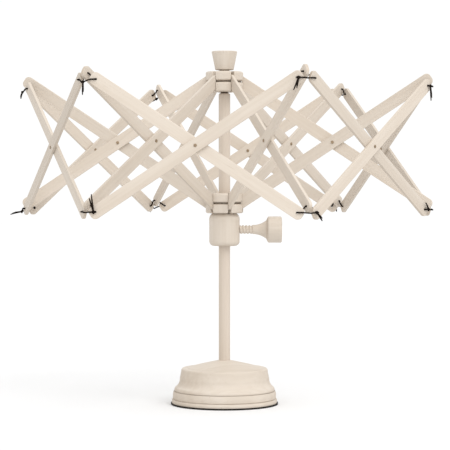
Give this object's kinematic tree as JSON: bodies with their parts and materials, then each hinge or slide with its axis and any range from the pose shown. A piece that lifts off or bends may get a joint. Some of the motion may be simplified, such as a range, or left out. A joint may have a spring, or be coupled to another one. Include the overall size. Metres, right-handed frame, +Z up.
{
  "type": "umbrella yarn swift",
  "caption": "Wooden table-top yarn swift: a folding lattice of slats that turns and opens like an umbrella on a post with a turned base.",
  "frame": {"origin": "under the middle of the foot pad, on the table", "axes": "+Z up along the post; +X along the thumb screw, to the viewer's right; +Y away from the viewer"},
  "size_m": [0.5933, 0.5506, 0.4907],
  "materials": {
    "turned_base": "smooth turned, waxed",
    "turned_cup": "smooth turned, waxed",
    "post_wood": "sanded dowel",
    "hub_wood": "sanded, waxed",
    "collar_wood": "smooth turned, waxed",
    "screw_wood": "smooth turned, waxed",
    "arm_wood": "planed and sanded slat",
    "rim_wood": "planed and sanded slat",
    "foot_rubber": "matt pad",
    "washer": "dark matt washer",
    "hub_wire": "dull wire",
    "rivet_metal": "dull small rivet",
    "black_cord": "waxed twisted cord",
    "pad_felt": "pressed felt"
  },
  "bodies": {
    "stand": {"base": "turned_base", "foot_pad": "foot_rubber", "post": "post_wood", "hub_washer": "washer", "ball_cup": "turned_cup"},
    "crown": {"upper_hub": "hub_wood", "upper_wire": "hub_wire"},
    "runner": {"lower_hub": "hub_wood", "lower_wire": "hub_wire"},
    "collar": {"clamp_collar": "collar_wood"},
    "pad": {"clamp_pad": "pad_felt"},
    "screw": {"thumb_screw": "screw_wood"},
    "upper_arm_1": {"arm_upper_1": "arm_wood", "arm_rivet_1": "rivet_metal"},
    "lower_arm_1": {"arm_lower_1": "arm_wood"},
    "outer_rim_1": {"rim_outer_1": "rim_wood", "rim_rivet_1": "rivet_metal"},
    "inner_rim_1": {"rim_inner_1": "rim_wood"},
    "top_tie_1": {"top_lashing_1": "black_cord"},
    "low_tie_1": {"low_lashing_1": "black_cord"},
    "upper_arm_2": {"arm_upper_2": "arm_wood", "arm_rivet_2": "rivet_metal"},
    "lower_arm_2": {"arm_lower_2": "arm_wood"},
    "outer_rim_2": {"rim_outer_2": "rim_wood", "rim_rivet_2": "rivet_metal"},
    "inner_rim_2": {"rim_inner_2": "rim_wood"},
    "top_tie_2": {"top_lashing_2": "black_cord"},
    "low_tie_2": {"low_lashing_2": "black_cord"},
    "upper_arm_3": {"arm_upper_3": "arm_wood", "arm_rivet_3": "rivet_metal"},
    "lower_arm_3": {"arm_lower_3": "arm_wood"},
    "outer_rim_3": {"rim_outer_3": "rim_wood", "rim_rivet_3": "rivet_metal"},
    "inner_rim_3": {"rim_inner_3": "rim_wood"},
    "top_tie_3": {"top_lashing_3": "black_cord"},
    "low_tie_3": {"low_lashing_3": "black_cord"},
    "upper_arm_4": {"arm_upper_4": "arm_wood", "arm_rivet_4": "rivet_metal"},
    "lower_arm_4": {"arm_lower_4": "arm_wood"},
    "outer_rim_4": {"rim_outer_4": "rim_wood", "rim_rivet_4": "rivet_metal"},
    "inner_rim_4": {"rim_inner_4": "rim_wood"},
    "top_tie_4": {"top_lashing_4": "black_cord"},
    "low_tie_4": {"low_lashing_4": "black_cord"},
    "upper_arm_5": {"arm_upper_5": "arm_wood", "arm_rivet_5": "rivet_metal"},
    "lower_arm_5": {"arm_lower_5": "arm_wood"},
    "outer_rim_5": {"rim_outer_5": "rim_wood", "rim_rivet_5": "rivet_metal"},
    "inner_rim_5": {"rim_inner_5": "rim_wood"},
    "top_tie_5": {"top_lashing_5": "black_cord"},
    "low_tie_5": {"low_lashing_5": "black_cord"},
    "upper_arm_6": {"arm_upper_6": "arm_wood", "arm_rivet_6": "rivet_metal"},
    "lower_arm_6": {"arm_lower_6": "arm_wood"},
    "outer_rim_6": {"rim_outer_6": "rim_wood", "rim_rivet_6": "rivet_metal"},
    "inner_rim_6": {"rim_inner_6": "rim_wood"},
    "top_tie_6": {"top_lashing_6": "black_cord"},
    "low_tie_6": {"low_lashing_6": "black_cord"}
  },
  "joints": [
    {"name": "swift_spin", "type": "hinge", "parent": "stand", "child": "crown", "pos_m": [0, 0, 0.4484], "axis": [0, 0, 1], "continuous": true},
    {"name": "umbrella_fold", "type": "hinge", "parent": "crown", "child": "upper_arm_1", "pos_m": [0.02257, -0.00116, 0.4484], "axis": [0.1461, 0.9893, 0], "range_deg": [-18, 45]},
    {"name": "arm_cross_1", "type": "hinge", "parent": "upper_arm_1", "child": "lower_arm_1", "pos_m": [0.14897, -0.022, 0.36426], "axis": [0.1461, 0.9893, 0], "range_deg": [-90, 36]},
    {"name": "runner_hinge", "type": "hinge", "parent": "lower_arm_1", "child": "runner", "pos_m": [0.02194, -0.00541, 0.28012], "axis": [0.1461, 0.9893, 0], "range_deg": [-18, 45]},
    {"name": "upper_arm_hinge_2", "type": "hinge", "parent": "crown", "child": "upper_arm_2", "pos_m": [0.01229, 0.01897, 0.4484], "axis": [-0.7837, 0.6211, 0], "range_deg": [-18, 45]},
    {"name": "lower_arm_hinge_2", "type": "hinge", "parent": "runner", "child": "lower_arm_2", "pos_m": [0.01566, 0.0163, 0.28012], "axis": [-0.7837, 0.6211, 0], "range_deg": [-45, 18]},
    {"name": "upper_arm_hinge_3", "type": "hinge", "parent": "crown", "child": "upper_arm_3", "pos_m": [-0.01028, 0.02013, 0.4484], "axis": [-0.9298, -0.3681, 0], "range_deg": [-18, 45]},
    {"name": "lower_arm_hinge_3", "type": "hinge", "parent": "runner", "child": "lower_arm_3", "pos_m": [-0.00628, 0.02171, 0.28012], "axis": [-0.9298, -0.3681, 0], "range_deg": [-45, 18]},
    {"name": "upper_arm_hinge_4", "type": "hinge", "parent": "crown", "child": "upper_arm_4", "pos_m": [-0.02257, 0.00116, 0.4484], "axis": [-0.1461, -0.9893, 0], "range_deg": [-18, 45]},
    {"name": "lower_arm_hinge_4", "type": "hinge", "parent": "runner", "child": "lower_arm_4", "pos_m": [-0.02194, 0.00541, 0.28012], "axis": [-0.1461, -0.9893, 0], "range_deg": [-45, 18]},
    {"name": "upper_arm_hinge_5", "type": "hinge", "parent": "crown", "child": "upper_arm_5", "pos_m": [-0.01229, -0.01897, 0.4484], "axis": [0.7837, -0.6211, 0], "range_deg": [-18, 45]},
    {"name": "lower_arm_hinge_5", "type": "hinge", "parent": "runner", "child": "lower_arm_5", "pos_m": [-0.01566, -0.0163, 0.28012], "axis": [0.7837, -0.6211, 0], "range_deg": [-45, 18]},
    {"name": "upper_arm_hinge_6", "type": "hinge", "parent": "crown", "child": "upper_arm_6", "pos_m": [0.01028, -0.02013, 0.4484], "axis": [0.9298, 0.3681, 0], "range_deg": [-18, 45]},
    {"name": "lower_arm_hinge_6", "type": "hinge", "parent": "runner", "child": "lower_arm_6", "pos_m": [0.00628, -0.02171, 0.28012], "axis": [0.9298, 0.3681, 0], "range_deg": [-45, 18]},
    {"name": "top_tie_hinge_1", "type": "hinge", "parent": "lower_arm_1", "child": "top_tie_1", "pos_m": [0.27537, -0.04284, 0.4484], "axis": [0.1461, 0.9893, 0], "range_deg": [-18, 45]},
    {"name": "low_tie_hinge_1", "type": "hinge", "parent": "upper_arm_1", "child": "low_tie_1", "pos_m": [0.276, -0.03858, 0.28012], "axis": [0.1461, 0.9893, 0], "range_deg": [-45, 18]},
    {"name": "outer_rim_hinge_1", "type": "hinge", "parent": "low_tie_1", "child": "outer_rim_1", "pos_m": [0.27837, -0.02755, 0.27212], "axis": [0.9298, 0.3681, 0], "range_deg": [-18, 45]},
    {"name": "inner_rim_hinge_1", "type": "hinge", "parent": "top_tie_1", "child": "inner_rim_1", "pos_m": [0.27437, -0.02913, 0.4404], "axis": [0.9298, 0.3681, 0], "range_deg": [-45, 18]},
    {"name": "top_tie_hinge_2", "type": "hinge", "parent": "lower_arm_2", "child": "top_tie_2", "pos_m": [0.17478, 0.21706, 0.4484], "axis": [-0.7837, 0.6211, 0], "range_deg": [-18, 45]},
    {"name": "low_tie_hinge_2", "type": "hinge", "parent": "upper_arm_2", "child": "low_tie_2", "pos_m": [0.17141, 0.21973, 0.28012], "axis": [-0.7837, 0.6211, 0], "range_deg": [-45, 18]},
    {"name": "outer_rim_hinge_2", "type": "hinge", "parent": "low_tie_2", "child": "outer_rim_2", "pos_m": [0.16304, 0.2273, 0.27212], "axis": [0.1461, 0.9893, 0], "range_deg": [-18, 45]},
    {"name": "inner_rim_hinge_2", "type": "hinge", "parent": "top_tie_2", "child": "inner_rim_2", "pos_m": [0.16241, 0.22305, 0.4404], "axis": [0.1461, 0.9893, 0], "range_deg": [-45, 18]},
    {"name": "top_tie_hinge_3", "type": "hinge", "parent": "lower_arm_3", "child": "top_tie_3", "pos_m": [-0.10059, 0.2599, 0.4484], "axis": [-0.9298, -0.3681, 0], "range_deg": [-18, 45]},
    {"name": "low_tie_hinge_3", "type": "hinge", "parent": "upper_arm_3", "child": "low_tie_3", "pos_m": [-0.10459, 0.25831, 0.28012], "axis": [-0.9298, -0.3681, 0], "range_deg": [-45, 18]},
    {"name": "outer_rim_hinge_3", "type": "hinge", "parent": "low_tie_3", "child": "outer_rim_3", "pos_m": [-0.11533, 0.25485, 0.27212], "axis": [-0.7837, 0.6211, 0], "range_deg": [-18, 45]},
    {"name": "inner_rim_hinge_3", "type": "hinge", "parent": "top_tie_3", "child": "inner_rim_3", "pos_m": [-0.11196, 0.25218, 0.4404], "axis": [-0.7837, 0.6211, 0], "range_deg": [-45, 18]},
    {"name": "top_tie_hinge_4", "type": "hinge", "parent": "lower_arm_4", "child": "top_tie_4", "pos_m": [-0.27537, 0.04284, 0.4484], "axis": [-0.1461, -0.9893, 0], "range_deg": [-18, 45]},
    {"name": "low_tie_hinge_4", "type": "hinge", "parent": "upper_arm_4", "child": "low_tie_4", "pos_m": [-0.276, 0.03858, 0.28012], "axis": [-0.1461, -0.9893, 0], "range_deg": [-45, 18]},
    {"name": "outer_rim_hinge_4", "type": "hinge", "parent": "low_tie_4", "child": "outer_rim_4", "pos_m": [-0.27837, 0.02755, 0.27212], "axis": [-0.9298, -0.3681, 0], "range_deg": [-18, 45]},
    {"name": "inner_rim_hinge_4", "type": "hinge", "parent": "top_tie_4", "child": "inner_rim_4", "pos_m": [-0.27437, 0.02913, 0.4404], "axis": [-0.9298, -0.3681, 0], "range_deg": [-45, 18]},
    {"name": "top_tie_hinge_5", "type": "hinge", "parent": "lower_arm_5", "child": "top_tie_5", "pos_m": [-0.17478, -0.21706, 0.4484], "axis": [0.7837, -0.6211, 0], "range_deg": [-18, 45]},
    {"name": "low_tie_hinge_5", "type": "hinge", "parent": "upper_arm_5", "child": "low_tie_5", "pos_m": [-0.17141, -0.21973, 0.28012], "axis": [0.7837, -0.6211, 0], "range_deg": [-45, 18]},
    {"name": "outer_rim_hinge_5", "type": "hinge", "parent": "low_tie_5", "child": "outer_rim_5", "pos_m": [-0.16304, -0.2273, 0.27212], "axis": [-0.1461, -0.9893, 0], "range_deg": [-18, 45]},
    {"name": "inner_rim_hinge_5", "type": "hinge", "parent": "top_tie_5", "child": "inner_rim_5", "pos_m": [-0.16241, -0.22305, 0.4404], "axis": [-0.1461, -0.9893, 0], "range_deg": [-45, 18]},
    {"name": "top_tie_hinge_6", "type": "hinge", "parent": "lower_arm_6", "child": "top_tie_6", "pos_m": [0.10059, -0.2599, 0.4484], "axis": [0.9298, 0.3681, 0], "range_deg": [-18, 45]},
    {"name": "low_tie_hinge_6", "type": "hinge", "parent": "upper_arm_6", "child": "low_tie_6", "pos_m": [0.10459, -0.25831, 0.28012], "axis": [0.9298, 0.3681, 0], "range_deg": [-45, 18]},
    {"name": "outer_rim_hinge_6", "type": "hinge", "parent": "low_tie_6", "child": "outer_rim_6", "pos_m": [0.11533, -0.25485, 0.27212], "axis": [0.7837, -0.6211, 0], "range_deg": [-18, 45]},
    {"name": "inner_rim_hinge_6", "type": "hinge", "parent": "top_tie_6", "child": "inner_rim_6", "pos_m": [0.11196, -0.25218, 0.4404], "axis": [0.7837, -0.6211, 0], "range_deg": [-45, 18]},
    {"name": "collar_turn", "type": "hinge", "parent": "runner", "child": "collar", "pos_m": [0, 0, 0.24322], "axis": [0, 0, 1], "continuous": true},
    {"name": "screw_feed", "type": "slide", "parent": "collar", "child": "pad", "axis": [1, 0, 0], "range_m": [0, 0.0045]},
    {"name": "screw_turn", "type": "hinge", "parent": "pad", "child": "screw", "pos_m": [0.045, 0, 0.24322], "axis": [1, 0, 0], "range_deg": [0, 360]}
  ],
  "couplings": [
    {"joint": "arm_cross_1", "follows": "umbrella_fold", "ratio": -2},
    {"joint": "runner_hinge", "follows": "umbrella_fold", "ratio": 1},
    {"joint": "upper_arm_hinge_2", "follows": "umbrella_fold", "ratio": 1},
    {"joint": "lower_arm_hinge_2", "follows": "umbrella_fold", "ratio": -1},
    {"joint": "upper_arm_hinge_3", "follows": "umbrella_fold", "ratio": 1},
    {"joint": "lower_arm_hinge_3", "follows": "umbrella_fold", "ratio": -1},
    {"joint": "upper_arm_hinge_4", "follows": "umbrella_fold", "ratio": 1},
    {"joint": "lower_arm_hinge_4", "follows": "umbrella_fold", "ratio": -1},
    {"joint": "upper_arm_hinge_5", "follows": "umbrella_fold", "ratio": 1},
    {"joint": "lower_arm_hinge_5", "follows": "umbrella_fold", "ratio": -1},
    {"joint": "upper_arm_hinge_6", "follows": "umbrella_fold", "ratio": 1},
    {"joint": "lower_arm_hinge_6", "follows": "umbrella_fold", "ratio": -1},
    {"joint": "top_tie_hinge_1", "follows": "umbrella_fold", "ratio": 1},
    {"joint": "low_tie_hinge_1", "follows": "umbrella_fold", "ratio": -1},
    {"joint": "outer_rim_hinge_1", "follows": "umbrella_fold", "ratio": 1},
    {"joint": "inner_rim_hinge_1", "follows": "umbrella_fold", "ratio": -1},
    {"joint": "top_tie_hinge_2", "follows": "umbrella_fold", "ratio": 1},
    {"joint": "low_tie_hinge_2", "follows": "umbrella_fold", "ratio": -1},
    {"joint": "outer_rim_hinge_2", "follows": "umbrella_fold", "ratio": 1},
    {"joint": "inner_rim_hinge_2", "follows": "umbrella_fold", "ratio": -1},
    {"joint": "top_tie_hinge_3", "follows": "umbrella_fold", "ratio": 1},
    {"joint": "low_tie_hinge_3", "follows": "umbrella_fold", "ratio": -1},
    {"joint": "outer_rim_hinge_3", "follows": "umbrella_fold", "ratio": 1},
    {"joint": "inner_rim_hinge_3", "follows": "umbrella_fold", "ratio": -1},
    {"joint": "top_tie_hinge_4", "follows": "umbrella_fold", "ratio": 1},
    {"joint": "low_tie_hinge_4", "follows": "umbrella_fold", "ratio": -1},
    {"joint": "outer_rim_hinge_4", "follows": "umbrella_fold", "ratio": 1},
    {"joint": "inner_rim_hinge_4", "follows": "umbrella_fold", "ratio": -1},
    {"joint": "top_tie_hinge_5", "follows": "umbrella_fold", "ratio": 1},
    {"joint": "low_tie_hinge_5", "follows": "umbrella_fold", "ratio": -1},
    {"joint": "outer_rim_hinge_5", "follows": "umbrella_fold", "ratio": 1},
    {"joint": "inner_rim_hinge_5", "follows": "umbrella_fold", "ratio": -1},
    {"joint": "top_tie_hinge_6", "follows": "umbrella_fold", "ratio": 1},
    {"joint": "low_tie_hinge_6", "follows": "umbrella_fold", "ratio": -1},
    {"joint": "outer_rim_hinge_6", "follows": "umbrella_fold", "ratio": 1},
    {"joint": "inner_rim_hinge_6", "follows": "umbrella_fold", "ratio": -1},
    {"joint": "collar_turn", "follows": "swift_spin", "ratio": -1},
    {"joint": "screw_feed", "follows": "screw_turn", "m_per_rad": 0.0007162}
  ]
}
